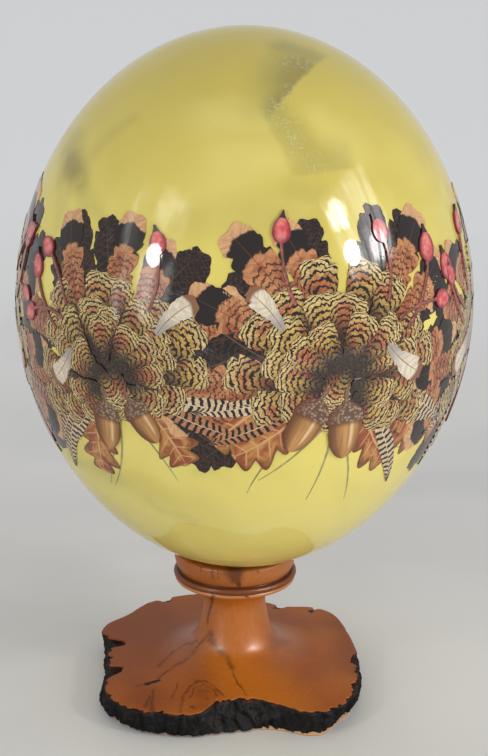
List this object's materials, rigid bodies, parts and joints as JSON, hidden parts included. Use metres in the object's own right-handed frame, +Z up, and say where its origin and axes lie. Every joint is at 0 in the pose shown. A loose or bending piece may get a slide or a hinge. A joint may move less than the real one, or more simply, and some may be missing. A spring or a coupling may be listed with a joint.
{
  "type": "decorated ostrich egg on wooden stand",
  "caption": "Blown, lacquered ostrich egg with an autumn garland, resting loose in the cup of a turned wooden stand with a live bark edge.",
  "frame": {"origin": "where the axis of the turned stand meets the surface that it rests on", "axes": "+Z up along the stand's axis; -Y is the front, the side with the stand's two forward lobes; +X is to the right seen from the front"},
  "size_m": [0.1253, 0.1254, 0.1905],
  "materials": {
    "painted_shell": "gloss",
    "turned_wood": "satin",
    "bark": "matte",
    "printed_paper": "gloss"
  },
  "bodies": {
    "root": {"egg": "painted_shell", "stand": "turned_wood"}
  },
  "joints": []
}
